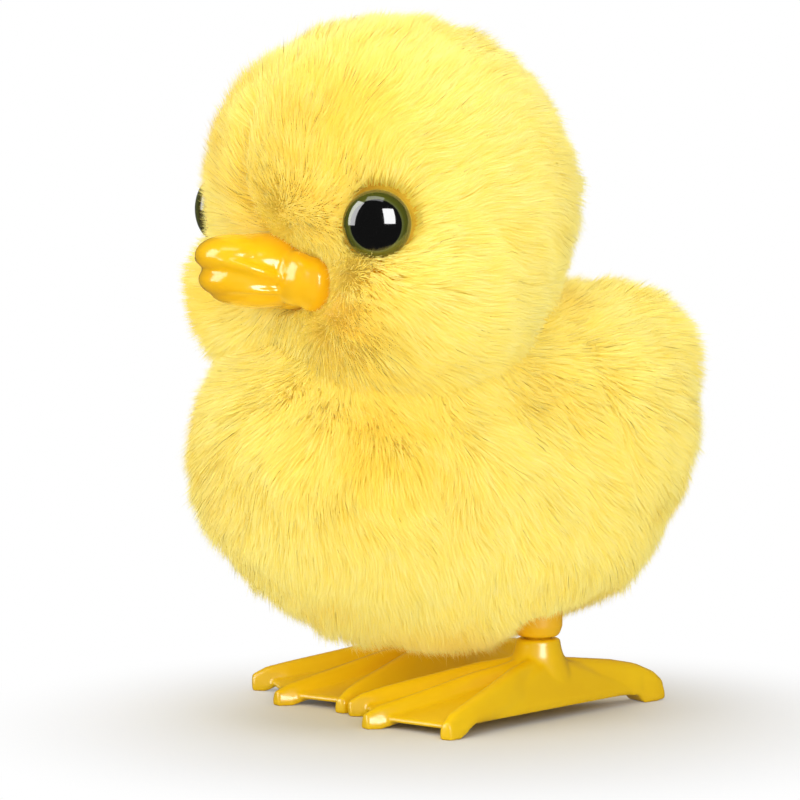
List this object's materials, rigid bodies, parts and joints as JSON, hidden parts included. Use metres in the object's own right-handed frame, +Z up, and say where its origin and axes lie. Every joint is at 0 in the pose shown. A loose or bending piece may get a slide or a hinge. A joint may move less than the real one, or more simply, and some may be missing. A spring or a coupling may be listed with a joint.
{
  "type": "wind-up hopping toy chick",
  "caption": "Plush chick on moulded webbed feet: a wound spring drives a geared crank that rocks both legs, so that it hops",
  "frame": {"origin": "middle of the base of the whole object's box, on the plane it stands on", "axes": "+Z up; the chick faces -Y; its left side is +X; the winding knob is on its right side, -X"},
  "size_m": [0.0682, 0.081, 0.0992],
  "materials": {
    "plush": "long soft pile, pale lemon at the tips and deeper yellow at the roots",
    "filling": "white fibre filling",
    "eye_gloss": "polished, black pupil in an olive ring",
    "washer_plastic": "plain moulded",
    "bill_plastic": "glossy moulded",
    "foot_plastic": "glossy moulded",
    "leg_plastic": "satin moulded",
    "knob_plastic": "glossy moulded",
    "case_plastic": "satin moulded",
    "gear_plastic": "natural acetal",
    "steel": "bright drawn",
    "spring_steel": "blued strip"
  },
  "bodies": {
    "chick": {"left_plush_panel": "plush", "right_plush_panel": "plush", "bottom_plush_panel": "plush", "head_stuffing": "filling", "body_stuffing": "filling", "left_eye": "eye_gloss", "right_eye": "eye_gloss", "left_eye_washer": "washer_plastic", "right_eye_washer": "washer_plastic", "bill": "bill_plastic", "bill_washer": "washer_plastic", "motor_case_left": "case_plastic", "motor_case_right": "case_plastic", "case_screw_front": "steel", "case_screw_rear": "steel", "case_screw_top": "steel", "idler_axle": "steel", "crank_axle": "steel", "spring_pin": "steel", "mainspring": "spring_steel"},
    "legs": {"rocker_shaft": "steel", "rocker_lever": "gear_plastic", "left_leg": "leg_plastic", "right_leg": "leg_plastic", "left_foot": "foot_plastic", "right_foot": "foot_plastic", "left_shaft_clip": "steel", "right_shaft_clip": "steel"},
    "crank": {"crank_wheel": "gear_plastic"},
    "idler": {"idler_gear": "gear_plastic"},
    "great": {"great_gear": "gear_plastic"},
    "winder": {"winding_arbor": "steel", "ratchet_wheel": "gear_plastic", "winding_knob": "knob_plastic"}
  },
  "joints": [
    {"name": "hop", "type": "hinge", "parent": "chick", "child": "legs", "pos_m": [0.00406, 0.00833, 0.025], "axis": [1, 0, 0], "range_deg": [-10.89, 10.89]},
    {"name": "crank_turn", "type": "hinge", "parent": "chick", "child": "crank", "pos_m": [0.00406, 0.00833, 0.033], "axis": [1, 0, 0], "range_deg": [-60.1, 60.1]},
    {"name": "idler_turn", "type": "hinge", "parent": "chick", "child": "idler", "pos_m": [0.00406, 0.00656, 0.04304], "axis": [1, 0, 0], "range_deg": [-25.1, 25.1]},
    {"name": "great_gear_turn", "type": "hinge", "parent": "chick", "child": "great", "pos_m": [0.00406, 0.01803, 0.03954], "axis": [1, 0, 0], "range_deg": [-8.4, 8.4]},
    {"name": "winding", "type": "hinge", "parent": "great", "child": "winder", "pos_m": [0.00406, 0.01803, 0.03954], "axis": [1, 0, 0], "range_deg": [0, 1170]}
  ],
  "couplings": [
    {"joint": "crank_turn", "follows": "hop", "ratio": 5.51},
    {"joint": "idler_turn", "follows": "hop", "ratio": -2.2958},
    {"joint": "great_gear_turn", "follows": "hop", "ratio": 0.76528}
  ]
}
